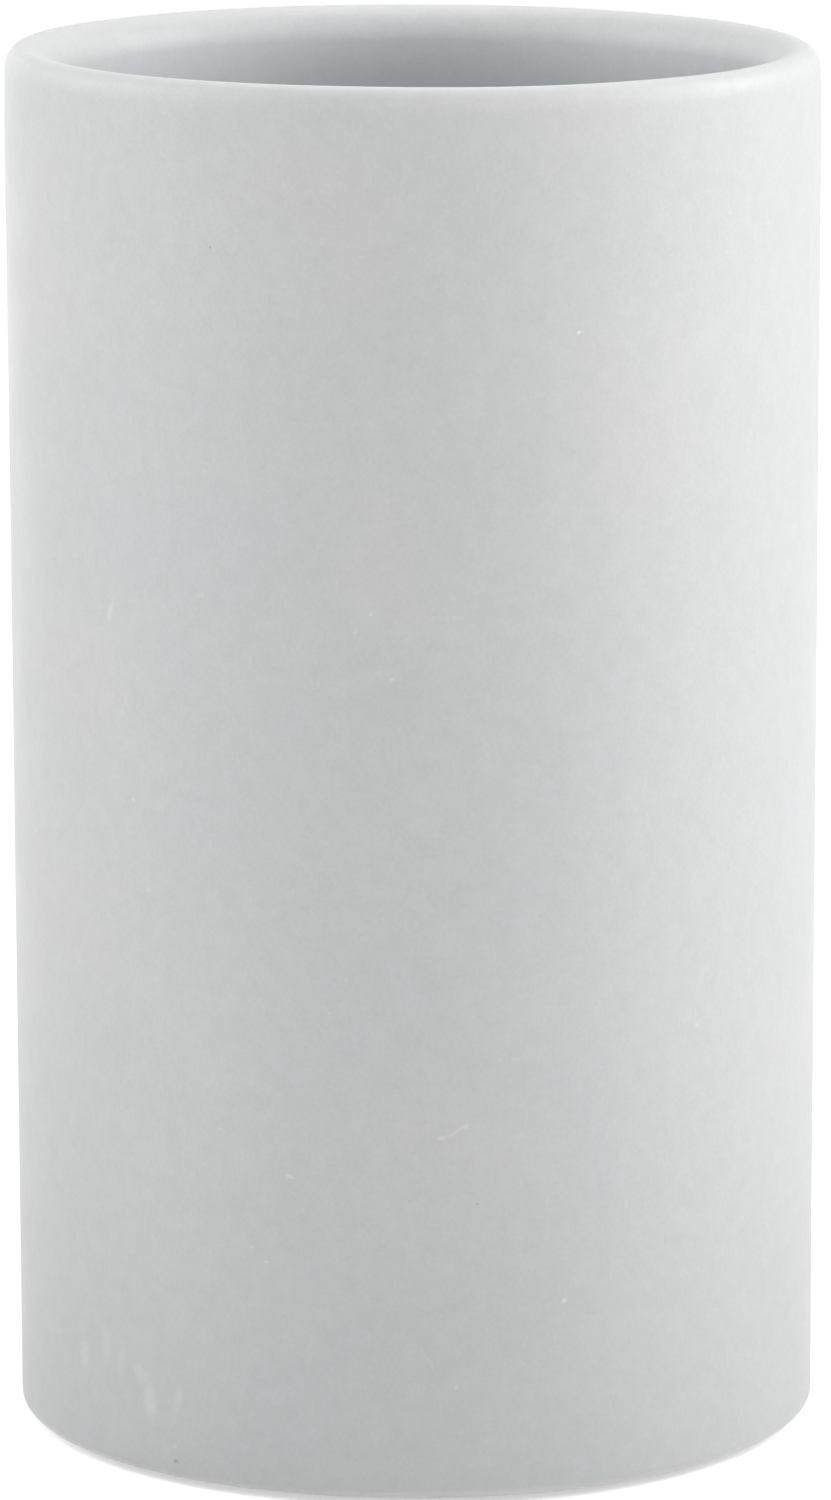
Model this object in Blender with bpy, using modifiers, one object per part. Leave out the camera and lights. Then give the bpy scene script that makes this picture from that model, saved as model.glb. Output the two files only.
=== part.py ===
"""A plain ceramic toothbrush holder: a tumbler on three stick-on anti-slip pads.

Lengths are in metres and +Z is up. The origin is the middle of the circle that the
tumbler stands on, in the plane of the pads' undersides.

The tumbler is one fired piece: a straight tube with a closed base, a soft rolled lip
and a dry foot ring round a shallow recess. The pads are bought in, and are pressed
into that recess, so that they carry the tumbler and keep the ring off the basin.
"""

import math

import bmesh
import bpy

MM = 0.001

# Overall sizes, as they are sold: the width over the rim, and the height with the pads on
RIM_DIAMETER = 70 * MM
OVERALL_HEIGHT = 120 * MM

# The ceramic wall, which leans in a little towards the foot so that it leaves its mould
WALL_THICKNESS = 4.4 * MM
WALL_LEAN = 0.25 * MM
BASE_THICKNESS = 5 * MM

# The lip: a tight outer curve, and a wider one that rolls down into the well
LIP_OUTER_WIDTH = 1.6 * MM
LIP_OUTER_DROP = 2.1 * MM
LIP_INNER_DROP = 2.4 * MM

# The well, whose bottom corner is wide enough to wipe out
WELL_CORNER_RADIUS = 8 * MM

# The foot: a rounded outer edge, a flat dry ring, and a recess inside it, whose side is
# rounded at both ends, each time over a share of its depth
FOOT_EDGE_RADIUS = 1.1 * MM
FOOT_RING_WIDTH = 3.3 * MM
RECESS_DEPTH = 1.2 * MM
RECESS_ROUND_SHARE = 0.45

# The anti-slip pads, with the adhesive film above each of them, and how far they stand
# below the ring and clear of the curved corner of the recess
PAD_COUNT = 3
PAD_DIAMETER = 10 * MM
PAD_PROUD = 0.6 * MM
PAD_SIDE_TAPER = 0.2 * MM
PAD_EDGE_RADIUS = 0.4 * MM
PAD_TO_CORNER = 1 * MM
ADHESIVE_FILM = 0.3 * MM

# How finely the round shapes are cut
TUMBLER_STEPS = 96
LIP_STEPS = 9
WELL_CORNER_STEPS = 8
FOOT_EDGE_STEPS = 5
RECESS_ROUND_STEPS = 3
PAD_STEPS = 48
PAD_EDGE_STEPS = 4
SHARP_ANGLE = math.radians(40)
MERGE_DISTANCE = 0.01 * MM

# Colours are linear light, with a roughness from 0 to 1
GLAZE_COLOUR = (0.60, 0.62, 0.61)
GLAZE_ROUGHNESS = 0.5
PAD_COLOUR = (0.72, 0.73, 0.70)
PAD_ROUGHNESS = 0.35

# Heights and radii that follow from the sizes above
FOOT_HEIGHT = PAD_PROUD
RECESS_HEIGHT = FOOT_HEIGHT + RECESS_DEPTH
WELL_FLOOR_HEIGHT = RECESS_HEIGHT + BASE_THICKNESS
RIM_RADIUS = RIM_DIAMETER / 2
FOOT_RADIUS = RIM_RADIUS - WALL_LEAN
CREST_RADIUS = RIM_RADIUS - LIP_OUTER_WIDTH
LIP_OUTER_HEIGHT = OVERALL_HEIGHT - LIP_OUTER_DROP
LIP_INNER_HEIGHT = OVERALL_HEIGHT - LIP_INNER_DROP
RING_OUTER_RADIUS = FOOT_RADIUS - FOOT_EDGE_RADIUS
RECESS_ROUND = RECESS_DEPTH * RECESS_ROUND_SHARE
RECESS_RADIUS = RING_OUTER_RADIUS - FOOT_RING_WIDTH - RECESS_ROUND
PAD_RADIUS = PAD_DIAMETER / 2
PAD_THICKNESS = RECESS_DEPTH + PAD_PROUD - ADHESIVE_FILM
PAD_CIRCLE_RADIUS = RECESS_RADIUS - RECESS_ROUND - PAD_TO_CORNER - PAD_RADIUS


def clear_scene():
    """Empties the file, so that only this model is in it."""
    for obj in list(bpy.data.objects):
        bpy.data.objects.remove(obj, do_unlink=True)


def new_collection(name):
    """A collection of that name, in the scene."""
    collection = bpy.data.collections.new(name)
    bpy.context.scene.collection.children.link(collection)
    return collection


def plain_material(name, colour, roughness):
    """A non-metallic material with one colour and one roughness."""
    material = bpy.data.materials.new(name)
    material.use_nodes = True
    shader = material.node_tree.nodes["Principled BSDF"]
    shader.inputs["Base Color"].default_value = (*colour, 1)
    shader.inputs["Roughness"].default_value = roughness
    shader.inputs["Metallic"].default_value = 0
    material.diffuse_color = (*colour, 1)
    return material


def add_part(name, mesh, collection, parent, location=(0, 0, 0)):
    """Puts a mesh in the collection as a named part, placed from its parent."""
    part = bpy.data.objects.new(name, mesh)
    collection.objects.link(part)
    part.parent = parent
    part.location = location
    return part


def curve_run(centre, half_width, half_height, start, end, steps):
    """Points (radius, height) on part of an ellipse, from one angle in degrees to another.

    Angle 0 points away from the axis, and angle 90 points up.
    """
    run = []
    for step in range(steps + 1):
        angle = math.radians(start + (end - start) * step / steps)
        radius = centre[0] + half_width * math.cos(angle)
        height = centre[1] + half_height * math.sin(angle)
        run.append((radius, height))
    return run


def wall_radius(height):
    """The outer radius of the leaning wall at a height between the foot and the lip."""
    share = (height - FOOT_HEIGHT) / (LIP_OUTER_HEIGHT - FOOT_HEIGHT)
    return FOOT_RADIUS + WALL_LEAN * share


def well_section():
    """The inside, from the middle of its floor up to where the lip starts."""
    size = WELL_CORNER_RADIUS
    corner_top = WELL_FLOOR_HEIGHT + size
    corner_centre = (wall_radius(corner_top) - WALL_THICKNESS - size, corner_top)
    corner = curve_run(corner_centre, size, size, -90, 0, WELL_CORNER_STEPS)
    return [(0, WELL_FLOOR_HEIGHT), *corner]


def lip_section():
    """The lip, from the inner wall over the crest to the outer wall."""
    inner_width = WALL_THICKNESS - LIP_OUTER_WIDTH
    inner_centre = (CREST_RADIUS, LIP_INNER_HEIGHT)
    outer_centre = (CREST_RADIUS, LIP_OUTER_HEIGHT)
    inner = curve_run(inner_centre, inner_width, LIP_INNER_DROP, 180, 90, LIP_STEPS)
    outer = curve_run(outer_centre, LIP_OUTER_WIDTH, LIP_OUTER_DROP, 90, 0, LIP_STEPS)
    return inner + outer[1:]


def foot_section():
    """The underside, from the outer wall round the foot and its ring to the middle of the recess."""
    edge_centre = (RING_OUTER_RADIUS, FOOT_HEIGHT + FOOT_EDGE_RADIUS)
    ring_centre = (RECESS_RADIUS + RECESS_ROUND, FOOT_HEIGHT + RECESS_ROUND)
    corner_centre = (RECESS_RADIUS - RECESS_ROUND, RECESS_HEIGHT - RECESS_ROUND)
    edge = curve_run(edge_centre, FOOT_EDGE_RADIUS, FOOT_EDGE_RADIUS, 0, -90, FOOT_EDGE_STEPS)
    ring = curve_run(ring_centre, RECESS_ROUND, RECESS_ROUND, -90, -180, RECESS_ROUND_STEPS)
    corner = curve_run(corner_centre, RECESS_ROUND, RECESS_ROUND, 0, 90, RECESS_ROUND_STEPS)
    return [*edge, *ring, *corner, (0, RECESS_HEIGHT)]


def tumbler_mesh():
    """The half section of the whole tumbler, from the axis inside to the axis below, as edges."""
    section = well_section() + lip_section() + foot_section()
    points = [(radius, 0, height) for radius, height in section]
    edges = [(i, i + 1) for i in range(len(points) - 1)]
    mesh = bpy.data.meshes.new("tumbler_section")
    mesh.from_pydata(points, edges, [])
    return mesh


def turn_round_axis(part, steps):
    """Turns a half section about +Z, as on a wheel, and welds it where it meets the axis."""
    turn = part.modifiers.new("Turn", "SCREW")
    turn.steps = steps
    turn.render_steps = steps
    turn.use_smooth_shade = True
    turn.use_merge_vertices = True
    turn.merge_threshold = MERGE_DISTANCE


def pad_mesh():
    """One pad: a low tapered disc, whose lower rim is marked to be rounded."""
    mesh = bpy.data.meshes.new("anti_slip_pad")
    disc = bmesh.new()
    bmesh.ops.create_cone(
        disc,
        cap_ends=True,
        segments=PAD_STEPS,
        radius1=PAD_RADIUS - PAD_SIDE_TAPER,
        radius2=PAD_RADIUS,
        depth=PAD_THICKNESS,
    )
    weight = disc.edges.layers.float.new("bevel_weight_edge")
    for edge in disc.edges:
        edge[weight] = 1.0 if all(vertex.co.z < 0 for vertex in edge.verts) else 0.0
    disc.to_mesh(mesh)
    disc.free()
    mesh.shade_smooth()
    mesh.set_sharp_from_angle(angle=SHARP_ANGLE)
    return mesh


def round_lower_rim(part):
    """Rounds the pad's marked rim, where it would otherwise catch a cloth."""
    rounding = part.modifiers.new("Rounded rim", "BEVEL")
    rounding.limit_method = "WEIGHT"
    rounding.width = PAD_EDGE_RADIUS
    rounding.segments = PAD_EDGE_STEPS


def build_tumbler(collection, stand):
    """The ceramic tumbler."""
    mesh = tumbler_mesh()
    mesh.materials.append(plain_material("matt_grey_glaze", GLAZE_COLOUR, GLAZE_ROUGHNESS))
    tumbler = add_part("tumbler", mesh, collection, stand)
    turn_round_axis(tumbler, TUMBLER_STEPS)


def build_pads(collection, stand):
    """The anti-slip pads, evenly spaced in the recess, the first one towards -Y."""
    mesh = pad_mesh()
    mesh.materials.append(plain_material("clear_silicone", PAD_COLOUR, PAD_ROUGHNESS))
    for number in range(PAD_COUNT):
        angle = math.radians(360 * number / PAD_COUNT - 90)
        place = (
            PAD_CIRCLE_RADIUS * math.cos(angle),
            PAD_CIRCLE_RADIUS * math.sin(angle),
            PAD_THICKNESS / 2,
        )
        pad = add_part(f"anti_slip_pad_{number + 1}", mesh, collection, stand, place)
        round_lower_rim(pad)


def main():
    """Builds the tumbler and its pads in one collection, on one empty at the origin."""
    clear_scene()
    collection = new_collection("toothbrush_holder")
    stand = bpy.data.objects.new("standing_point", None)
    collection.objects.link(stand)
    build_tumbler(collection, stand)
    build_pads(collection, stand)


main()
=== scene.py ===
# %% [markdown]
# A plain ceramic toothbrush holder
#
# The real holder is a straight tumbler of slip-cast stoneware under a matt, pale grey glaze. It
# stands on three clear pads that are stuck into a shallow recess underneath. Its solid model is
# packed in a frame. This lesson makes the surfaces that a camera sees: the glaze, the bare ring
# of clay that stood on the kiln shelf, the pads, and a white table with soft studio light.

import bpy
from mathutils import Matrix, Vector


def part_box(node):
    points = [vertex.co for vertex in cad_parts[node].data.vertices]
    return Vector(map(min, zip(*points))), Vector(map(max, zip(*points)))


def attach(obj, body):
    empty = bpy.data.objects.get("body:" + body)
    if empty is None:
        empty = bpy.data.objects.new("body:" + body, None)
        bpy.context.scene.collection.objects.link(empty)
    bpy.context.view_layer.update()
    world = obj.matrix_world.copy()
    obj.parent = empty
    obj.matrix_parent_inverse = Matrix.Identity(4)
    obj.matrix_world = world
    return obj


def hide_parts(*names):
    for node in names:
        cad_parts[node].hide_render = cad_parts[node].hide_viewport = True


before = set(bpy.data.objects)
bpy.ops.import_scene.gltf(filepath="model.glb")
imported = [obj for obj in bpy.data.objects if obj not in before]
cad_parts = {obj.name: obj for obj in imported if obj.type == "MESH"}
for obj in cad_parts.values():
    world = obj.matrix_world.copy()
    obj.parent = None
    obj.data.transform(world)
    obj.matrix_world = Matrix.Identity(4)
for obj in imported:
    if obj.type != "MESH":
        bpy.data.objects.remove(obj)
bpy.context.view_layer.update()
print("nodes in the frame:", ", ".join(sorted(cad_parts)))

# %% [markdown]
# Blender's operators act on whatever is selected, and the frame arrives selected. So each piece
# starts by deselecting everything, and these small helpers keep that in one place. A finished
# piece keeps its object at the origin, with its place in its mesh, so `settle` applies whatever
# move, turn or scale the object still has.

# %% Modules and helpers
import math

import bmesh
import bpy
from mathutils import Matrix, Vector

MM = 0.001


def deselect_all():
    """Deselects every object, so that the next operator touches only what it makes."""
    bpy.ops.object.select_all(action="DESELECT")


def take_in_hand(piece):
    """Makes a piece the only selected one, and the active one."""
    deselect_all()
    piece.select_set(True)
    bpy.context.view_layer.objects.active = piece


def settle(piece):
    """Puts a piece's place, turn and scale into its mesh."""
    take_in_hand(piece)
    bpy.ops.object.transform_apply(location=True, rotation=True, scale=True)


def apply_modifiers(piece):
    """Applies a piece's modifiers in their order."""
    take_in_hand(piece)
    for name in [modifier.name for modifier in piece.modifiers]:
        bpy.ops.object.modifier_apply(modifier=name)


def describe(piece):
    """Prints a piece's name, size and count of faces."""
    size = piece.dimensions / MM
    count = len(piece.data.polygons)
    print(f"{piece.name}: {size.x:.2f} x {size.y:.2f} x {size.z:.2f} mm, {count} faces")


# %% [markdown]
# The tumbler's outer sizes come from the frame. The others are what a potter would hold a gauge
# to: the wall, the two curves of the lip, the corner of the well and the foot. They repeat the
# sizes of the solid, so that the finer surface lies on it. Only the lip's inner roll is freer: its
# curve widens by a ratio as it sinks into the well, where the solid has a quarter of an ellipse.

# %% Sizes of the tumbler
tumbler_low, tumbler_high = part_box("tumbler")
RIM_RADIUS = (tumbler_high.x - tumbler_low.x) / 2
RIM_HEIGHT = tumbler_high.z
FOOT_HEIGHT = tumbler_low.z

WALL_THICKNESS = 4.4 * MM
WALL_LEAN = 0.25 * MM
BASE_THICKNESS = 5 * MM
LIP_OUTER_WIDTH = 1.6 * MM
LIP_OUTER_DROP = 2.1 * MM
LIP_OPENING = 1.4
WELL_CORNER_RADIUS = 8 * MM
FOOT_EDGE_RADIUS = 1.1 * MM
FOOT_RING_WIDTH = 3.3 * MM
RECESS_DEPTH = 1.2 * MM
RECESS_ROUND = 0.54 * MM

FOOT_RADIUS = RIM_RADIUS - WALL_LEAN
CREST_RADIUS = RIM_RADIUS - LIP_OUTER_WIDTH
LIP_OUTER_HEIGHT = RIM_HEIGHT - LIP_OUTER_DROP
RECESS_HEIGHT = FOOT_HEIGHT + RECESS_DEPTH
WELL_FLOOR_HEIGHT = RECESS_HEIGHT + BASE_THICKNESS
RING_OUTER_RADIUS = FOOT_RADIUS - FOOT_EDGE_RADIUS
RECESS_RADIUS = RING_OUTER_RADIUS - FOOT_RING_WIDTH - RECESS_ROUND
print(f"rim {RIM_RADIUS / MM:.2f} mm from the axis, {RIM_HEIGHT / MM:.2f} mm up")

# %% [markdown]
# A tumbler is round, so one half section says all of it. It is written as a list of points, each
# with its radius and its height. Straight stretches are shared out evenly, and round ones are
# parts of ellipses. The inner roll of the lip is walked in small steps, each a little longer than
# the last, because thick glaze leaves no edge there.

# %% Runs of points


def straight_run(start, end, steps):
    """Points after the start, up to the end, evenly spaced on a line."""
    run = []
    for step in range(1, steps + 1):
        share = step / steps
        run.append(tuple(a + (b - a) * share for a, b in zip(start, end)))
    return run


def curve_run(centre, half_width, half_height, start, end, steps):
    """Points on part of an ellipse. Angle 0 points away from the axis, and 90 points up."""
    run = []
    for step in range(steps + 1):
        angle = math.radians(start + (end - start) * step / steps)
        radius = centre[0] + half_width * math.cos(angle)
        height = centre[1] + half_height * math.sin(angle)
        run.append((radius, height))
    return run


def opening_run(start, width, opening, steps):
    """Points after a crest, inwards and down to plumb, on a curve that widens as it goes.

    Its radius grows by the ratio `opening`, and it ends `width` further in than it starts.
    """
    across, down, walked = 0, 0, []
    for step in range(steps):
        share = (step + 0.5) / steps
        stride = 1 + (opening - 1) * share ** 2
        across += stride * math.cos(math.radians(90) * share)
        down += stride * math.sin(math.radians(90) * share)
        walked.append((across, down))
    scale = width / across
    return [(start[0] - x * scale, start[1] - z * scale) for x, z in walked]


# %% [markdown]
# The runs are joined in the order that the rings are raised, and the foot comes first: from the
# middle of the recess underneath to the outer edge of the ring. The glaze is a real layer. It is
# wiped off the ring that stands on the kiln shelf, and it ends there in a small rounded step.

# %% The section of the foot
GLAZE_THICKNESS = 0.05 * MM
GLAZE_END_RISE = 0.07 * MM
GLAZE_END_TURN = 6
POLE_RADIUS = 1.5 * MM

# How many steps each stretch is cut into, from the middle outwards
RECESS_CEILING_STEPS = 9
RECESS_CORNER_STEPS = 7
RECESS_EDGE_STEPS = 5
RING_INNER_STEPS = 3
RING_STEPS = 6
RING_OUTER_STEPS = 4


def glaze_end_angle(rounding):
    """How far round an edge of the foot the glaze goes, in degrees below level.

    The clay starts GLAZE_END_TURN degrees further on, and the step lies between them.
    """
    return math.degrees(math.asin(1 - GLAZE_END_RISE / rounding))


def recess_section():
    """The glazed recess, from near its middle to where its rounded side meets the ring."""
    middle = (POLE_RADIUS, RECESS_HEIGHT)
    ceiling_end = (RECESS_RADIUS - RECESS_ROUND, RECESS_HEIGHT)
    ceiling = straight_run(middle, ceiling_end, RECESS_CEILING_STEPS)
    corner = curve_run(
        (RECESS_RADIUS - RECESS_ROUND, RECESS_HEIGHT - RECESS_ROUND),
        RECESS_ROUND, RECESS_ROUND, 90, 0, RECESS_CORNER_STEPS,
    )
    edge = curve_run(
        (RECESS_RADIUS + RECESS_ROUND, FOOT_HEIGHT + RECESS_ROUND),
        RECESS_ROUND, RECESS_ROUND, 180, 180 + glaze_end_angle(RECESS_ROUND), RECESS_EDGE_STEPS,
    )
    return [middle, *ceiling, *corner[1:], *edge]


def bare_ring_section():
    """The bare clay ring, which lies the thickness of the glaze behind the glazed surface."""
    inner_centre = (RECESS_RADIUS + RECESS_ROUND, FOOT_HEIGHT + RECESS_ROUND)
    outer_centre = (RING_OUTER_RADIUS, FOOT_HEIGHT + FOOT_EDGE_RADIUS)
    inner_round = RECESS_ROUND - GLAZE_THICKNESS
    outer_round = FOOT_EDGE_RADIUS - GLAZE_THICKNESS
    inner_start = 180 + glaze_end_angle(RECESS_ROUND) + GLAZE_END_TURN
    outer_end = -glaze_end_angle(FOOT_EDGE_RADIUS) - GLAZE_END_TURN
    inner = curve_run(
        inner_centre, inner_round, inner_round, inner_start, 270, RING_INNER_STEPS
    )
    outer = curve_run(outer_centre, outer_round, outer_round, -90, outer_end, RING_OUTER_STEPS)
    return [*inner, *straight_run(inner[-1], outer[0], RING_STEPS), *outer[1:]]


foot_section = recess_section() + bare_ring_section()
print(f"the foot's section has {len(foot_section)} points")

# %% [markdown]
# The rest goes on from the edge of the foot: up the wall, which leans out by a hair, over the
# lip, and down the well to near the middle of its floor.

# %% The section of the wall, the lip and the well
# How many steps each stretch is cut into, from the edge of the foot to the well's floor
FOOT_EDGE_STEPS = 9
WALL_STEPS = 40
LIP_OUTER_STEPS = 22
LIP_INNER_STEPS = 26
WELL_STEPS = 34
WELL_CORNER_STEPS = 16
WELL_FLOOR_STEPS = 8


def wall_radius(height):
    """The outer radius of the leaning wall at a height between the foot and the lip."""
    share = (height - FOOT_HEIGHT) / (LIP_OUTER_HEIGHT - FOOT_HEIGHT)
    return FOOT_RADIUS + WALL_LEAN * share


def wall_section():
    """The glazed outside, from the foot's rounded edge up to the crest of the lip."""
    edge_centre = (RING_OUTER_RADIUS, FOOT_HEIGHT + FOOT_EDGE_RADIUS)
    start = -glaze_end_angle(FOOT_EDGE_RADIUS)
    edge = curve_run(
        edge_centre, FOOT_EDGE_RADIUS, FOOT_EDGE_RADIUS, start, 0, FOOT_EDGE_STEPS
    )
    lip_centre = (CREST_RADIUS, LIP_OUTER_HEIGHT)
    lip = curve_run(lip_centre, LIP_OUTER_WIDTH, LIP_OUTER_DROP, 0, 90, LIP_OUTER_STEPS)
    return [*edge, *straight_run(edge[-1], lip[0], WALL_STEPS), *lip[1:]]


def well_section():
    """The glazed inside, from the crest of the lip down to near the middle of the floor."""
    inner_width = WALL_THICKNESS - LIP_OUTER_WIDTH
    lip = opening_run((CREST_RADIUS, RIM_HEIGHT), inner_width, LIP_OPENING, LIP_INNER_STEPS)
    size = WELL_CORNER_RADIUS
    corner_top = WELL_FLOOR_HEIGHT + size
    corner_centre = (wall_radius(corner_top) - WALL_THICKNESS - size, corner_top)
    corner = curve_run(corner_centre, size, size, 0, -90, WELL_CORNER_STEPS)
    floor_end = (POLE_RADIUS, WELL_FLOOR_HEIGHT)
    return [
        *lip,
        *straight_run(lip[-1], corner[0], WELL_STEPS),
        *corner[1:],
        *straight_run(corner[-1], floor_end, WELL_FLOOR_STEPS),
    ]


section = foot_section + wall_section() + well_section()
print(f"the half section has {len(section)} points")

# %% [markdown]
# The tumbler could be cut from a cylinder with insets and bevels, but a bevel only makes curves
# that are as wide as they are high, and this lip is taller than it is wide outside. So it is
# raised as on a wheel. A small disc is the start, and its edge is extruded and scaled once for
# each point of the section. The last ring closes on the middle of the floor. The surface is one
# closed skin, and its normals are made to point out before anything else is done to it.

# %% Raise the tumbler ring by ring
SEGMENTS = 256


def raise_rings(rings):
    """A closed turned skin through rings of (radius, height), closed at both ends."""
    first_radius, first_height = rings[0]
    deselect_all()
    bpy.ops.mesh.primitive_circle_add(
        vertices=SEGMENTS, radius=first_radius, fill_type="TRIFAN", location=(0, 0, first_height)
    )
    piece = bpy.context.object
    settle(piece)
    bpy.ops.object.mode_set(mode="EDIT")
    bpy.ops.mesh.select_all(action="SELECT")
    bpy.ops.mesh.region_to_loop()
    radius, height = first_radius, first_height
    for next_radius, next_height in rings[1:]:
        bpy.ops.mesh.extrude_edges_move(
            TRANSFORM_OT_translate={"value": (0, 0, next_height - height)}
        )
        ratio = next_radius / radius
        bpy.ops.transform.resize(value=(ratio, ratio, 1), center_override=(0, 0, 0))
        radius, height = next_radius, next_height
    bpy.ops.mesh.merge(type="CENTER")
    bpy.ops.mesh.select_all(action="SELECT")
    bpy.ops.mesh.normals_make_consistent(inside=False)
    bpy.ops.object.mode_set(mode="OBJECT")
    return piece


tumbler = raise_rings(section)
tumbler.name = "glazed_tumbler"
describe(tumbler)

# %% [markdown]
# Slip-cast clay is never quite true. The wall has long, very low ripples, and the lip is sponged
# by hand, so its crest is flatter in some places than in others. Two Displace modifiers press
# smooth procedural clouds into it, the second one only where a vertex group holds the lip. The
# cast was also cut off a little out of level: its rim is 0.3 mm lower on the right. A third
# Displace modifier lowers the top through a group that grows to the right. All three only take
# away, so the tumbler never grows past its solid.

# %% Ripples, the sponged lip and the slope of the rim
RIPPLE_DEPTH = 0.06 * MM
RIPPLE_LENGTH = 26 * MM
SPONGE_DEPTH = 0.10 * MM
SPONGE_LENGTH = 17 * MM
LIP_ZONE = 3.4 * MM
SLOPE_DEPTH = 0.30 * MM
SLOPE_ZONE = 25 * MM


def cloud_texture(name, length):
    """A smooth cloud pattern with blobs of about that length."""
    texture = bpy.data.textures.new(name, "CLOUDS")
    texture.noise_basis = "BLENDER_ORIGINAL"
    texture.noise_scale = length
    texture.noise_depth = 0
    return texture


def press_in(piece, name, length, depth, group=""):
    """Adds a modifier that presses the surface in by up to a depth, along its normals."""
    press = piece.modifiers.new(name, "DISPLACE")
    press.texture = cloud_texture(name, length)
    press.texture_coords = "LOCAL"
    press.direction = "NORMAL"
    press.mid_level = 1
    press.strength = depth
    press.vertex_group = group


def vertex_group(piece, name, share_at):
    """A vertex group that holds each point by the share that a function gives for its place."""
    group = piece.vertex_groups.new(name=name)
    for vertex in piece.data.vertices:
        share = share_at(vertex.co)
        if share > 0:
            group.add([vertex.index], min(1, share), "REPLACE")
    return group.name


def lip_share(point):
    """Whole over the upper half of the lip, and fading out down the wall."""
    return 2 * (point.z - (RIM_HEIGHT - LIP_ZONE)) / LIP_ZONE


def slope_share(point):
    """Nothing at the far left or lower down, and whole at the far right of the rim."""
    up = max(0, (point.z - (RIM_HEIGHT - SLOPE_ZONE)) / SLOPE_ZONE)
    return up * (1 + point.x / RIM_RADIUS) / 2


def lower_by_group(piece, name, depth, group):
    """Adds a modifier that moves a vertex group straight down by up to a depth."""
    lower = piece.modifiers.new(name, "DISPLACE")
    lower.direction = "Z"
    lower.mid_level = 0
    lower.strength = -depth
    lower.vertex_group = group


lip = vertex_group(tumbler, "lip", lip_share)
slope = vertex_group(tumbler, "slope", slope_share)
press_in(tumbler, "cast_ripple", RIPPLE_LENGTH, RIPPLE_DEPTH)
press_in(tumbler, "sponged_lip", SPONGE_LENGTH, SPONGE_DEPTH, lip)
lower_by_group(tumbler, "out_of_level", SLOPE_DEPTH, slope)
apply_modifiers(tumbler)
bpy.ops.object.shade_smooth()
describe(tumbler)

# %% [markdown]
# Materials are built from nodes. These helpers keep each recipe short: one adds a node and sets
# its sockets, and one makes a fresh material and hands over its shader. Patterns read Object
# coordinates, which are metres here, so a noise scale of 100 makes blobs about 10 mm across. A
# noise pattern seldom leaves the middle of its range, so recipes stretch NOISE_SPAN to the whole.

# %% Node helpers
NOISE_SPAN = (0.3, 0.7)


def node(tree, kind, links=(), **settings):
    """Adds a node, sets its properties, and links or sets its sockets by name or number."""
    made = tree.nodes.new(kind)
    for name, value in settings.items():
        setattr(made, name, value)
    for socket, value in dict(links).items():
        if isinstance(value, bpy.types.NodeSocket):
            tree.links.new(value, made.inputs[socket])
        else:
            made.inputs[socket].default_value = value
    return made


def new_material(name, **constants):
    """A material and its tree and shader, with plain numbers set on the shader's own sockets."""
    material = bpy.data.materials.new(name)
    material.use_nodes = True
    tree = material.node_tree
    shader = tree.nodes["Principled BSDF"]
    for socket, value in constants.items():
        shader.inputs[socket.replace("_", " ")].default_value = value
    return material, tree, shader


def blend_colours(tree, factor, first, second):
    """The socket of a mix from the first colour to the second.

    On the Mix node, inputs 6 and 7 are the two colours, and output 2 is the mixed one.
    """
    sockets = {0: factor, 6: first, 7: second}
    return node(tree, "ShaderNodeMix", sockets, data_type="RGBA").outputs[2]


def remap(tree, value, low, high, out_low=0.0, out_high=1.0, smooth=True):
    """The socket of a value moved from one range to another, and held inside it."""
    kind = "SMOOTHSTEP" if smooth else "LINEAR"
    ends = {"From Min": low, "From Max": high, "To Min": out_low, "To Max": out_high}
    mapped = node(
        tree, "ShaderNodeMapRange", {"Value": value, **ends}, interpolation_type=kind, clamp=True
    )
    return mapped.outputs["Result"]


def maths(tree, operation, first, second=0.0):
    """The socket of one sum or product."""
    return node(tree, "ShaderNodeMath", {0: first, 1: second}, operation=operation).outputs[0]


def noise(tree, vector, scale, detail=2.0, roughness=0.5):
    """The socket of a noise pattern, around 0.5."""
    sockets = {"Vector": vector, "Scale": scale, "Detail": detail, "Roughness": roughness}
    return node(tree, "ShaderNodeTexNoise", sockets).outputs["Fac"]


def add_relief(tree, shader, pattern, height, strength):
    """Lets a pattern raise the surface by up to a height, in how it takes the light."""
    sockets = {"Strength": strength, "Distance": height, "Height": pattern}
    bump = node(tree, "ShaderNodeBump", sockets)
    tree.links.new(bump.outputs["Normal"], shader.inputs["Normal"])


# %% [markdown]
# A used glaze is never blank. Low on the left there are pale smears, where the raw glaze was
# touched before it was fired. There are hairline scratches from the basin, pinholes, and dark
# specks of iron. Each one is a soft oval with its own place, size and strength, because marks
# that a pattern scatters all look alike.

# %% Marks on the glaze
# Each row: degrees right of the front, mm up, mm long, mm wide, degrees turned from level, strength
PALE_MARKS = (
    (-54.8, 9.6, 3.8, 2.2, 90, 0.19),
    (-49.6, 10.9, 4.4, 2.0, 90, 0.14),
    (-46.2, 9.9, 4.0, 1.6, 80, 0.13),
    (-42.2, 9.2, 3.6, 2.0, -38, 0.18),
    (-40.6, 7.2, 5.0, 2.0, 94, 0.25),
    (-35.6, 7.7, 3.6, 1.3, 74, 0.16),
    (-52.6, 6.6, 3.0, 1.4, 96, 0.08),
    (-37.4, 3.4, 2.2, 1.2, 10, 0.08),
    (-46.8, 74.8, 3.6, 0.9, 75, 0.28),
    (-30.7, 77.1, 1.3, 0.6, 20, 0.12),
    (5.2, 32.5, 3.0, 0.42, 25, 0.34),
    (3.5, 32.0, 0.9, 0.5, 15, 0.45),
    (7.0, 33.0, 0.9, 0.5, 30, 0.45),
    (1.6, 12.9, 4.6, 0.32, -59, 0.12),
    (33.5, 61.0, 2.8, 0.34, 64, 0.08),
    (126.0, 44.0, 5.4, 0.36, 37, 0.22),
    (171.0, 88.0, 3.3, 0.36, -52, 0.20),
    (-141.0, 12.0, 3.8, 1.2, 85, 0.26),
)
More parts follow.
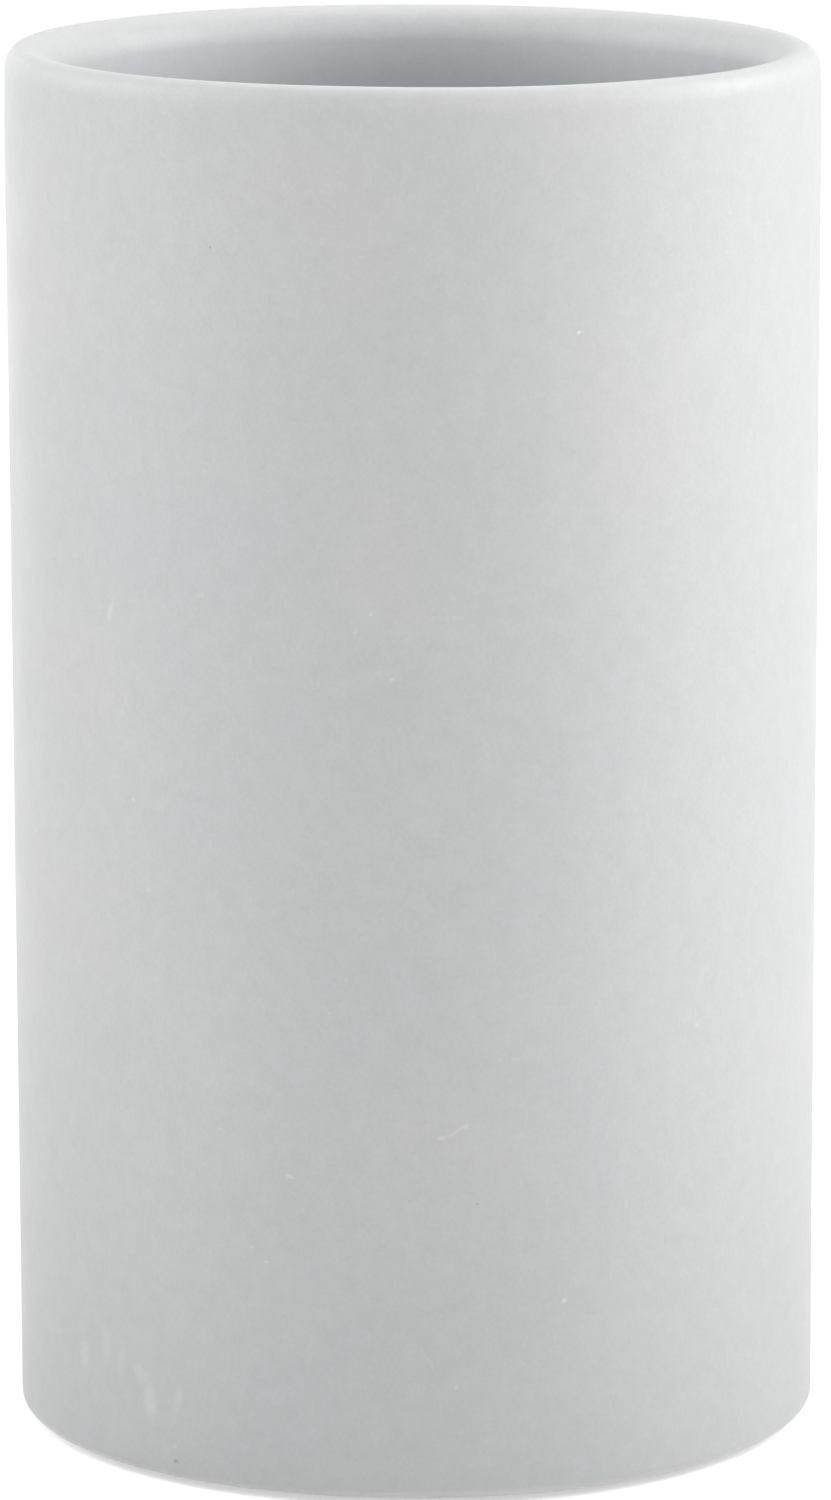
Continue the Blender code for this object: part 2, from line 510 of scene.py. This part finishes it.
PINHOLES = (
    (-36.0, 3.5, 0.56, 0.46, 0, 0.30),
    (-17.5, 28.4, 0.86, 0.60, 0, 0.50),
    (-21.2, 20.8, 0.72, 0.54, 20, 0.32),
    (-23.5, 22.0, 0.60, 0.46, 0, 0.36),
    (-28.0, 31.8, 0.60, 0.46, 30, 0.14),
    (21.1, 17.4, 0.58, 0.48, 0, 0.62),
    (5.5, 10.5, 0.48, 0.40, 0, 0.45),
    (43.0, 39.5, 0.50, 0.40, 0, 0.45),
    (-12.0, 42.5, 0.46, 0.38, 0, 0.38),
    (-9.5, 45.5, 0.50, 0.40, 0, 0.45),
    (-40.0, 51.5, 0.90, 0.70, 0, 0.34),
    (-42.6, 59.1, 0.46, 0.38, 0, 0.42),
    (-3.0, 71.0, 0.64, 0.52, 0, 0.42),
    (-8.0, 75.0, 0.70, 0.50, 40, 0.25),
    (-6.0, 76.4, 0.50, 0.38, 0, 0.50),
    (23.0, 99.4, 0.62, 0.54, 0, 1.00),
    (48.7, 108.1, 0.40, 0.34, 0, 0.35),
)
IRON_SPECKS = (
    (-35.9, 2.3, 0.74, 0.62, 0, 0.43),
    (-69.4, 16.6, 0.34, 0.30, 0, 0.28),
    (98.0, 53.0, 0.46, 0.40, 0, 0.80),
    (-152.0, 71.0, 0.40, 0.38, 0, 0.75),
)
print(f"{len(PALE_MARKS)} pale marks, {len(PINHOLES)} pinholes, {len(IRON_SPECKS)} iron specks")

# %% [markdown]
# The ovals lie on a flat map of the outside, which says how far round from the front a point is
# and how far up. The map wavers a little, so that no oval stays true. The well's wall has places
# on this map too, so every table of ovals is held to the outside.

# %% Soft ovals on a flat map
MARK_WAVER = 0.7 * MM
MARK_WAVER_SCALE = 900
OVAL_CORE = 0.2


def wall_map(tree, place):
    """The socket of a wavering flat map of the outside: metres right of the front, and metres up."""
    axes = node(tree, "ShaderNodeSeparateXYZ", {0: place}).outputs
    angle = maths(tree, "ARCTAN2", axes["X"], maths(tree, "MULTIPLY", axes["Y"], -1.0))
    around = maths(tree, "MULTIPLY", angle, RIM_RADIUS)
    flat = node(tree, "ShaderNodeCombineXYZ", {"X": around, "Y": axes["Z"]}).outputs[0]
    cloud = node(tree, "ShaderNodeTexNoise", {"Vector": place, "Scale": MARK_WAVER_SCALE})
    waver = node(
        tree, "ShaderNodeVectorMath",
        {0: cloud.outputs["Color"], 1: (MARK_WAVER, MARK_WAVER, 0), 2: flat},
        operation="MULTIPLY_ADD",
    ).outputs[0]
    middle = (MARK_WAVER / 2, MARK_WAVER / 2, 0)
    return node(
        tree, "ShaderNodeVectorMath", {0: waver, 1: middle}, operation="SUBTRACT"
    ).outputs[0]


def oval(tree, flat, right, up, length, width, turn, strength):
    """The socket of one soft oval: its strength in the middle, and 0 outside."""
    ends = {
        "Vector": flat,
        "Location": (math.radians(right) * RIM_RADIUS, up * MM, 0),
        "Rotation": (0, 0, math.radians(turn)),
        "Scale": (length * MM / 2, width * MM / 2, 1),
    }
    local = node(tree, "ShaderNodeMapping", ends, vector_type="TEXTURE").outputs[0]
    distance = node(tree, "ShaderNodeVectorMath", {0: local}, operation="LENGTH").outputs["Value"]
    return remap(tree, distance, OVAL_CORE, 1.0, strength, 0.0)


def ovals(tree, flat, outside, rows):
    """The socket of all the ovals of a table, on the outside only."""
    total = oval(tree, flat, *rows[0])
    for row in rows[1:]:
        total = maths(tree, "MAXIMUM", total, oval(tree, flat, *row))
    return maths(tree, "MULTIPLY", total, outside)


# %% [markdown]
# The colour of a glaze follows its depth. Its grey drifts a little between cooler and warmer
# patches. It runs thin over the lip and over the edge of the foot, where the clay lightens it; the
# foot's edge is lightened further as a painted highlight of light thrown up from the table. The
# wall is painted darker toward the foot, as painted shade. Inside the well the colour is painted
# darker and bluer from a little below the lip, as the painted shade of the deep well, and it pales
# towards the floor.

# %% The colour of the glaze, with painted shade and a painted highlight
GLAZE_COOL = (0.600, 0.621, 0.619, 1)
GLAZE_WARM = (0.620, 0.628, 0.623, 1)
GLAZE_THIN = (0.69, 0.70, 0.69, 1)
# Thin glaze on the foot's edge, plus a painted highlight of light from the table below
GLAZE_THIN_AND_LIT_EDGE = (0.93, 0.93, 0.92, 1)
# Painted shade of the deep well, darker and bluer than the outside
GLAZE_WELL_SHADE = (0.430, 0.454, 0.476, 1)
# Painted shade: the lower wall is darker toward the foot
GLAZE_FOOT_SHADE = (0.530, 0.548, 0.548, 1)
FOOT_SHADE_HEIGHT = 42 * MM
FOOT_SHADE_SHARE = 0.5
WELL_SHADE_WIDTH = 2.4 * MM
WELL_SHADE_DEPTH = 8 * MM
WELL_SHADE_FADES_BELOW = 16 * MM
THIN_LIP_HEIGHT = 1.2 * MM
THIN_LIP_SHARE = 0.5

PATCH_SCALE = 55
PATCH_SPAN = (0.35, 0.65)


def from_axis(tree, place):
    """The socket of a point's distance from the Z axis."""
    level = node(tree, "ShaderNodeVectorMath", {0: place, 1: (1, 1, 0)}, operation="MULTIPLY")
    return node(
        tree, "ShaderNodeVectorMath", {0: level.outputs[0]}, operation="LENGTH"
    ).outputs["Value"]


def glaze_colour_and_painted_shade(tree, place, radius):
    """The socket of the glaze's colour, paler where thin, with painted shade and a painted highlight.
    """
    height = node(tree, "ShaderNodeSeparateXYZ", {0: place}).outputs["Z"]
    patches = remap(tree, noise(tree, place, PATCH_SCALE, detail=3), *PATCH_SPAN)
    # Painted shade in the well: full from a little below the lip, fading towards the floor
    inside = remap(tree, radius, CREST_RADIUS, CREST_RADIUS - WELL_SHADE_WIDTH)
    deeper = remap(tree, height, RIM_HEIGHT, RIM_HEIGHT - WELL_SHADE_DEPTH)
    well_shade_fade = remap(tree, height, WELL_FLOOR_HEIGHT, RIM_HEIGHT - WELL_SHADE_FADES_BELOW)
    painted_well_shade = maths(tree, "MULTIPLY", maths(tree, "MULTIPLY", inside, deeper), well_shade_fade)
    # Painted shade, darker toward the foot
    painted_foot_shade = remap(tree, height, FOOT_HEIGHT, FOOT_HEIGHT + FOOT_SHADE_HEIGHT, FOOT_SHADE_SHARE, 0.0)
    over_lip = remap(tree, height, RIM_HEIGHT - THIN_LIP_HEIGHT, RIM_HEIGHT, 0.0, THIN_LIP_SHARE)
    # Thin glaze and a painted highlight on the foot's edge
    thin_and_lit_foot_edge = remap(tree, height, FOOT_HEIGHT, FOOT_HEIGHT + FOOT_EDGE_RADIUS, 1.0, 0.0)
    colour = blend_colours(tree, patches, GLAZE_COOL, GLAZE_WARM)
    colour = blend_colours(tree, painted_well_shade, colour, GLAZE_WELL_SHADE)
    colour = blend_colours(tree, painted_foot_shade, colour, GLAZE_FOOT_SHADE)
    colour = blend_colours(tree, over_lip, colour, GLAZE_THIN)
    return blend_colours(tree, thin_and_lit_foot_edge, colour, GLAZE_THIN_AND_LIT_EDGE)


# %% [markdown]
# The glaze is matt because tiny crystals grow in it as it cools. Seen close, a mottle and a fine
# grain break up its grey, and there are a few small specks all round. The marks come on top: what
# was rubbed is duller, and the pinholes are dents. All of them fade out over the crest of the
# lip, so that the well has none.

# %% The matt grey glaze
GLAZE_RUBBED = (0.84, 0.85, 0.83, 1)
GLAZE_IRON = (0.20, 0.20, 0.19, 1)
MOTTLE_SCALE = 620
MOTTLE_DEPTH = 0.018
GRAIN_SCALE = 3200
GRAIN_SPAN = (0.25, 0.75)
GRAIN_DEPTH = 0.025
SPECK_SCALE = 110
SPECK_SIZE = 0.012
SPECK_CORE = 0.6
SPECK_STRENGTH = 0.5

DULLNESS_SCALE = 120
DULLNESS_RANGE = (0.46, 0.54)
RUBBED_DULLNESS = 0.2
GRAIN_RELIEF = 0.4
PINHOLE_RELIEF = 2.0
RELIEF_HEIGHT = 0.02 * MM
RELIEF_STRENGTH = 0.25

OUTSIDE_STARTS = 32.8 * MM
OUTSIDE_FULLY = 33.4 * MM


def specks(tree, place, scale, size):
    """The socket of scattered round specks: 1 inside a speck, 0 elsewhere."""
    cells = node(tree, "ShaderNodeTexVoronoi", {"Vector": place, "Scale": scale})
    return remap(tree, cells.outputs["Distance"], size * SPECK_CORE, size, 1.0, 0.0)


def matt_glaze():
    """The glaze's material."""
    material, tree, shader = new_material(
        "matt_grey_glaze", Metallic=0.0, IOR=1.5, Specular_IOR_Level=0.25
    )
    place = node(tree, "ShaderNodeTexCoord").outputs["Object"]
    radius = from_axis(tree, place)
    mottle = noise(tree, place, MOTTLE_SCALE, detail=2)
    grain = noise(tree, place, GRAIN_SCALE, detail=1)
    shade = maths(
        tree, "MULTIPLY",
        remap(tree, mottle, *NOISE_SPAN, 1 - MOTTLE_DEPTH, 1 + MOTTLE_DEPTH, smooth=False),
        remap(tree, grain, *GRAIN_SPAN, 1 - GRAIN_DEPTH, 1 + GRAIN_DEPTH, smooth=False),
    )
    shaded = node(
        tree, "ShaderNodeVectorMath",
        {0: glaze_colour_and_painted_shade(tree, place, radius), "Scale": shade}, operation="SCALE",
    ).outputs[0]

    flat = wall_map(tree, place)
    outside = remap(tree, radius, OUTSIDE_STARTS, OUTSIDE_FULLY)
    rubbed = ovals(tree, flat, outside, PALE_MARKS)
    pinholes = ovals(tree, flat, outside, PINHOLES)
    iron = ovals(tree, flat, outside, IRON_SPECKS)
    stray = specks(tree, place, SPECK_SCALE, SPECK_SIZE)
    stray = maths(tree, "MULTIPLY", maths(tree, "MULTIPLY", stray, SPECK_STRENGTH), outside)
    colour = blend_colours(tree, maths(tree, "MAXIMUM", rubbed, pinholes), shaded, GLAZE_RUBBED)
    colour = blend_colours(tree, maths(tree, "MAXIMUM", iron, stray), colour, GLAZE_IRON)
    tree.links.new(colour, shader.inputs["Base Color"])

    drift = noise(tree, place, DULLNESS_SCALE, detail=3)
    dullness = remap(tree, drift, *NOISE_SPAN, *DULLNESS_RANGE)
    dullness = maths(tree, "ADD", dullness, maths(tree, "MULTIPLY", rubbed, RUBBED_DULLNESS))
    tree.links.new(dullness, shader.inputs["Roughness"])
    relief = maths(tree, "ADD", maths(tree, "MULTIPLY", grain, GRAIN_RELIEF), mottle)
    relief = maths(tree, "SUBTRACT", relief, maths(tree, "MULTIPLY", pinholes, PINHOLE_RELIEF))
    add_relief(tree, shader, relief, RELIEF_HEIGHT, RELIEF_STRENGTH)
    return material


glaze = matt_glaze()
print("made", glaze.name, "with", len(glaze.node_tree.nodes), "nodes")

# %% [markdown]
# The ring that stood on the kiln shelf is bare fired clay. It is paler and warmer than the
# glaze, quite without shine, and gritty to the touch, and it picks up grey rubs from the basin.

# %% The bare clay of the foot ring
CLAY_PALE = (0.75, 0.73, 0.69, 1)
CLAY_DEEP = (0.64, 0.61, 0.57, 1)
CLAY_RUBBED = (0.42, 0.41, 0.39, 1)
CLAY_PATCH_SCALE = 160
CLAY_GRIT_SCALE = 3200
CLAY_GRIT_HEIGHT = 0.05 * MM
CLAY_GRIT_STRENGTH = 0.6
CLAY_RUB_SCALE = 420
CLAY_RUB_SPAN = (0.56, 0.72)
CLAY_RUB_SHARE = 0.6
CLAY_DULLNESS = (0.82, 0.95)


def bare_clay():
    """The unglazed clay's material."""
    material, tree, shader = new_material("bare_stoneware", Metallic=0.0, IOR=1.5)
    place = node(tree, "ShaderNodeTexCoord").outputs["Object"]
    patches = remap(tree, noise(tree, place, CLAY_PATCH_SCALE, detail=4), *NOISE_SPAN)
    grit = noise(tree, place, CLAY_GRIT_SCALE, detail=3, roughness=0.7)
    colour = blend_colours(tree, patches, CLAY_DEEP, CLAY_PALE)
    scuffs = noise(tree, place, CLAY_RUB_SCALE, detail=5, roughness=0.7)
    rubs = remap(tree, scuffs, *CLAY_RUB_SPAN, 0.0, CLAY_RUB_SHARE)
    colour = blend_colours(tree, rubs, colour, CLAY_RUBBED)
    tree.links.new(colour, shader.inputs["Base Color"])
    dullness = remap(tree, grit, *NOISE_SPAN, *CLAY_DULLNESS)
    tree.links.new(dullness, shader.inputs["Roughness"])
    add_relief(tree, shader, grit, CLAY_GRIT_HEIGHT, CLAY_GRIT_STRENGTH)
    return material


clay = bare_clay()
print("made", clay.name)

# %% [markdown]
# The glaze goes on the whole tumbler first, and the clay then takes the faces of the wiped ring.
# They are found by their place: below the two ends of the glaze, between the recess and the
# outer edge.

# %% Dress the tumbler
bare_below = FOOT_HEIGHT + GLAZE_END_RISE + GLAZE_THICKNESS / 2


def is_bare(point):
    """Whether the middle of a face lies on the wiped ring."""
    radius = math.hypot(point.x, point.y)
    return point.z < bare_below and radius > RECESS_RADIUS


def dress(piece, first, second, takes_second):
    """Gives a piece one material, and a second one to the faces that a test picks."""
    piece.data.materials.clear()
    piece.data.materials.append(first)
    piece.data.materials.append(second)
    take_in_hand(piece)
    bpy.ops.object.mode_set(mode="EDIT")
    bpy.ops.mesh.select_mode(type="FACE")
    bpy.ops.mesh.select_all(action="DESELECT")
    skin = bmesh.from_edit_mesh(piece.data)
    for face in skin.faces:
        face.select = takes_second(face.calc_center_median())
    bmesh.update_edit_mesh(piece.data)
    piece.active_material_index = 1
    bpy.ops.object.material_slot_assign()
    bpy.ops.object.mode_set(mode="OBJECT")


dress(tumbler, glaze, clay, is_bare)
bare_faces = sum(face.material_index == 1 for face in tumbler.data.polygons)
print(f"{bare_faces} faces of bare clay")
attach(tumbler, "root")
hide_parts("tumbler")

# %% [markdown]
# Each pad is a low disc of clear silicone, cast in a sheet with many others. Its side tapers so
# that it leaves the mould, its lower rim is rounded, and its face has a faint dished middle. One
# pad is modelled at the origin from a cylinder: the lower face is scaled for the taper, its rim
# is bevelled, and insets give the dish.

# %% Model one pad
PAD_TAPER = 0.2 * MM
PAD_ROUND = 0.4 * MM
PAD_DISH_MARGIN = 1.6 * MM
PAD_DISH_DEPTH = 0.06 * MM
PAD_SEGMENTS = 72
PAD_ROUND_STEPS = 6
SMOOTH_UP_TO = math.radians(40)

# How nearly level a face has to be, and how near to its height, to be picked
LEVEL_WITHIN = 0.001
HEIGHT_WITHIN = 0.01 * MM

pad_nodes = sorted(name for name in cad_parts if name.startswith("anti_slip_pad"))
pad_low, pad_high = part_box(pad_nodes[0])
pad_radius = (pad_high.x - pad_low.x) / 2
pad_thickness = pad_high.z - pad_low.z


def select_flat_face(height):
    """Selects only the face in edit mode that lies level at a height."""
    skin = bmesh.from_edit_mesh(bpy.context.object.data)
    for face in skin.faces:
        level = abs(abs(face.normal.z) - 1) < LEVEL_WITHIN
        near = abs(face.calc_center_median().z - height) < HEIGHT_WITHIN
        face.select_set(level and near)
    bmesh.update_edit_mesh(bpy.context.object.data)


def model_pad():
    """One pad round the Z axis, standing on Z = 0."""
    deselect_all()
    bpy.ops.mesh.primitive_cylinder_add(
        vertices=PAD_SEGMENTS, radius=pad_radius, depth=pad_thickness,
        location=(0, 0, pad_thickness / 2), end_fill_type="NGON",
    )
    piece = bpy.context.object
    settle(piece)
    bpy.ops.object.mode_set(mode="EDIT")
    bpy.ops.mesh.select_mode(type="FACE")
    select_flat_face(0)
    taper = (pad_radius - PAD_TAPER) / pad_radius
    bpy.ops.transform.resize(value=(taper, taper, 1), center_override=(0, 0, 0))
    bpy.ops.mesh.bevel(offset=PAD_ROUND, segments=PAD_ROUND_STEPS, affect="EDGES")
    select_flat_face(0)
    bpy.ops.mesh.inset(thickness=PAD_DISH_MARGIN)
    bpy.ops.mesh.inset(thickness=PAD_DISH_MARGIN / 2)
    bpy.ops.transform.translate(value=(0, 0, PAD_DISH_DEPTH))
    bpy.ops.mesh.inset(thickness=PAD_DISH_MARGIN / 2)
    bpy.ops.mesh.poke()
    bpy.ops.object.mode_set(mode="OBJECT")
    bpy.ops.object.shade_smooth_by_angle(angle=SMOOTH_UP_TO)
    return piece


pattern_pad = model_pad()
describe(pattern_pad)

# %% [markdown]
# Clear silicone lets light in and scatters it, so it looks like frosted glass rather than white
# rubber. Transmission on the shader does that, with a soft gloss. Dust and lint cling to it, so
# faint cloudy patches dull the face, and short fibres show as thin pale lines.

# %% Clear silicone
SILICONE_CLEAN = (0.86, 0.87, 0.85, 1)
SILICONE_DUSTY = (0.72, 0.71, 0.67, 1)
DUST_SCALE = 700
DUST_SPAN = (0.45, 0.75)
FIBRE_SCALE = 260
FIBRE_TANGLE = 14.0
FIBRE_SPAN = (0.985, 1.0)
SILICONE_DULLNESS = (0.28, 0.55)
SILICONE_RELIEF_HEIGHT = 0.02 * MM
SILICONE_RELIEF_STRENGTH = 0.3


def clear_silicone():
    """The pads' material."""
    material, tree, shader = new_material(
        "clear_silicone", Metallic=0.0, IOR=1.41, Transmission_Weight=0.75
    )
    place = node(tree, "ShaderNodeTexCoord").outputs["Object"]
    dust = remap(tree, noise(tree, place, DUST_SCALE, detail=4, roughness=0.6), *DUST_SPAN)
    waves = {"Vector": place, "Scale": FIBRE_SCALE, "Distortion": FIBRE_TANGLE, "Detail": 3.0}
    wave = node(tree, "ShaderNodeTexWave", waves).outputs["Fac"]
    fibres = maths(tree, "MULTIPLY", remap(tree, wave, *FIBRE_SPAN), dust)
    soiled = maths(tree, "MAXIMUM", dust, fibres)
    colour = blend_colours(tree, soiled, SILICONE_CLEAN, SILICONE_DUSTY)
    tree.links.new(colour, shader.inputs["Base Color"])
    dullness = remap(tree, soiled, 0, 1, *SILICONE_DULLNESS, smooth=False)
    tree.links.new(dullness, shader.inputs["Roughness"])
    add_relief(tree, shader, soiled, SILICONE_RELIEF_HEIGHT, SILICONE_RELIEF_STRENGTH)
    return material


silicone = clear_silicone()
print("made", silicone.name)

# %% [markdown]
# The pattern pad is copied once for each pad of the frame, and moved in level. Each copy has its
# own mesh, because a piece that shared one could not have its place applied. The pattern then goes.

# %% Stick the pads in


def copy_under(pattern, name, centre, material):
    """A copy of a pattern piece with its own mesh, moved level to a centre, in one material."""
    take_in_hand(pattern)
    bpy.ops.object.duplicate()
    copy = bpy.context.object
    bpy.ops.transform.translate(value=(centre.x, centre.y, 0))
    settle(copy)
    copy.name = name
    copy.data.materials.clear()
    copy.data.materials.append(material)
    return copy


pad_centres = []
for pad_name in pad_nodes:
    low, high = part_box(pad_name)
    pad_centres.append((low + high) / 2)
    pad = copy_under(pattern_pad, pad_name.replace("anti_slip", "silicone"), pad_centres[-1], silicone)
    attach(pad, "root")
    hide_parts(pad_name)
    describe(pad)
bpy.data.objects.remove(pattern_pad)

# %% [markdown]
# The pads are self-adhesive. Between each pad and the glazed recess above it lies a thin sheet of
# clear glue, cut a little smaller than the pad so that it doesn't squeeze out. From below it is
# what keeps the pad from seeming to float. It is one more cylinder, with its rims softened by a
# Bevel modifier, and its shine is soft.

# %% The adhesive films
FILM_MARGIN = 0.2 * MM
FILM_CLEARANCE = 0.01 * MM
FILM_ROUND = 0.06 * MM
FILM_ROUND_STEPS = 3
FILM_COLOUR = (0.80, 0.79, 0.74, 1)
FILM_BUBBLE = (0.90, 0.90, 0.88, 1)
BUBBLE_SCALE = 900
BUBBLE_SIZE = 0.3
GLUE_DULLNESS = (0.5, 0.3)

film_low = pad_high.z + FILM_CLEARANCE
film_high = RECESS_HEIGHT - FILM_CLEARANCE


def glue_film():
    """The adhesive's material, with the small bubbles that were trapped in it."""
    material, tree, shader = new_material(
        "adhesive_film", Metallic=0.0, IOR=1.47, Transmission_Weight=0.6
    )
    place = node(tree, "ShaderNodeTexCoord").outputs["Object"]
    bubbles = specks(tree, place, BUBBLE_SCALE, BUBBLE_SIZE)
    colour = blend_colours(tree, bubbles, FILM_COLOUR, FILM_BUBBLE)
    tree.links.new(colour, shader.inputs["Base Color"])
    dullness = remap(tree, bubbles, 0, 1, *GLUE_DULLNESS, smooth=False)
    tree.links.new(dullness, shader.inputs["Roughness"])
    return material


def model_film():
    """One film round the Z axis, between the pads' tops and the recess."""
    deselect_all()
    bpy.ops.mesh.primitive_cylinder_add(
        vertices=PAD_SEGMENTS, radius=pad_radius - FILM_MARGIN, depth=film_high - film_low,
        location=(0, 0, (film_low + film_high) / 2), end_fill_type="NGON",
    )
    piece = bpy.context.object
    settle(piece)
    rims = piece.modifiers.new("rims", "BEVEL")
    rims.width = FILM_ROUND
    rims.segments = FILM_ROUND_STEPS
    apply_modifiers(piece)
    bpy.ops.object.shade_smooth_by_angle(angle=SMOOTH_UP_TO)
    return piece


glue = glue_film()
pattern_film = model_film()
for number, centre in enumerate(pad_centres, start=1):
    film = copy_under(pattern_film, f"adhesive_film_{number}", centre, glue)
    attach(film, "root")
    describe(film)
bpy.data.objects.remove(pattern_film)

# %% [markdown]
# The stage is a wide sheet of white acrylic, a hair below the pads. The lamps light it, it takes
# the tumbler's shadow, and it throws light back up at the foot. A glow lifts it to white, but only
# for the camera and for reflections, so no light on the object comes from it. Further out the lamps
# fade, so there the glow is stronger, and the backdrop stays white up to the picture's top.

# %% The white table
TABLE_SIZE = 8.0
TABLE_GAP = 0.01 * MM
TABLE_TONE = (0.72, 0.72, 0.72, 1)
GLOW_NEAR = 0.55
GLOW_FAR = 1.0
GLOW_START = 0.10
GLOW_END = 0.45


def direct_rays(tree):
    """The socket that is 1 for rays that show the backdrop: camera, glossy and through glass."""
    path = node(tree, "ShaderNodeLightPath").outputs
    seen = maths(tree, "MAXIMUM", path["Is Camera Ray"], path["Is Glossy Ray"])
    return maths(tree, "MAXIMUM", seen, path["Is Transmission Ray"])


def table_white():
    """The table's material."""
    material, tree, shader = new_material(
        "table_white", Base_Color=TABLE_TONE, Roughness=0.9, Specular_IOR_Level=0.0,
        Emission_Color=(1, 1, 1, 1),
    )
    place = node(tree, "ShaderNodeTexCoord").outputs["Object"]
    distance = node(tree, "ShaderNodeVectorMath", {0: place}, operation="LENGTH").outputs["Value"]
    glow = remap(tree, distance, GLOW_START, GLOW_END, GLOW_NEAR, GLOW_FAR)
    shown = maths(tree, "MULTIPLY", direct_rays(tree), glow)
    tree.links.new(shown, shader.inputs["Emission Strength"])
    return material


deselect_all()
bpy.ops.mesh.primitive_plane_add(size=TABLE_SIZE, location=(0, 0, -TABLE_GAP))
table = bpy.context.object
table.name = "white_table"
table.data.materials.append(table_white())

# %% [markdown]
# The world is the studio round the table. Seen directly or in a reflection it is plain white, and
# that is what draws the pale line down both sides of the glaze. For all other rays it is dark, so
# that only the lamps and the table light the tumbler.

# %% The studio round it


def light_the_studio():
    """Sets up the world: white where it is seen, and dark elsewhere."""
    world = bpy.data.worlds.new("studio")
    bpy.context.scene.world = world
    world.use_nodes = True
    tree = world.node_tree
    tree.nodes.clear()
    white = node(
        tree, "ShaderNodeBackground", {"Color": (1, 1, 1, 1), "Strength": direct_rays(tree)}
    )
    node(tree, "ShaderNodeOutputWorld", {"Surface": white.outputs[0]})


light_the_studio()

# %% [markdown]
# Soft boxes light the tumbler from both sides, a small one and a wide one on each, and the pair on
# the right is the stronger. One hangs high at the back for the lip, a weak one stands low at the
# back left for the edge, and one in front fills. Each is placed by its direction from the tumbler,
# as a photographer would describe it: so many degrees round from the camera, and so many up.

# %% Soft boxes
LAMP_TARGET = Vector((0, 0, 0.06))
LAMPS = (
    # name, degrees to the right of the camera, degrees up, metres away, metres wide, watts
    ("right_box", 98, 30, 0.50, 0.25, 1.55),
    ("wide_right_box", 80, 30, 0.50, 0.40, 0.70),
    ("left_box", -98, 30, 0.50, 0.25, 0.84),
    ("wide_left_box", -80, 30, 0.50, 0.40, 1.09),
    ("low_left_box", -150, 8, 0.50, 0.30, 0.22),
    ("high_back_box", 180, 65, 0.50, 0.40, 0.63),
    ("front_box", 12, 30, 0.42, 0.22, 0.76),
)


def hang_lamp(name, around, up, distance, width, watts):
    """One square soft box that faces the tumbler."""
    around, up = math.radians(around), math.radians(up)
    direction = Vector(
        (math.sin(around) * math.cos(up), -math.cos(around) * math.cos(up), math.sin(up))
    )
    deselect_all()
    bpy.ops.object.light_add(type="AREA", location=LAMP_TARGET + direction * distance)
    lamp = bpy.context.object
    lamp.name = name
    lamp.rotation_euler = direction.to_track_quat("Z", "Y").to_euler()
    lamp.data.shape = "SQUARE"
    lamp.data.size = width
    lamp.data.energy = watts


for row in LAMPS:
    hang_lamp(*row)
    print("hung", row[0])

# %% [markdown]
# The camera stands where the photographer stood: in front, looking down a little, through a long
# lens, so that the sides run almost parallel. It also leans by a hair to the right.

# %% The camera
CAMERA_DISTANCE = 701.9 * MM
CAMERA_HEIGHT = 194.44 * MM
CAMERA_SIDE = 0.08 * MM

# Both angles are in radians: down from level, and round the line of sight
CAMERA_PITCH = 0.19161
CAMERA_ROLL = -0.0029

LENS_MM = 197.4
SENSOR_MM = 36
SEES_FROM = 0.01
SEES_TO = 50

deselect_all()
bpy.ops.object.camera_add()
camera = bpy.context.object
camera.name = "camera"
camera.matrix_world = (
    Matrix.Translation((CAMERA_SIDE, -CAMERA_DISTANCE, CAMERA_HEIGHT))
    @ Matrix.Rotation(math.radians(90) - CAMERA_PITCH, 4, "X")
    @ Matrix.Rotation(CAMERA_ROLL, 4, "Z")
)
camera.data.sensor_width = SENSOR_MM
camera.data.lens = LENS_MM
camera.data.clip_start = SEES_FROM
camera.data.clip_end = SEES_TO
bpy.context.scene.camera = camera
bpy.context.scene.view_settings.view_transform = "Standard"
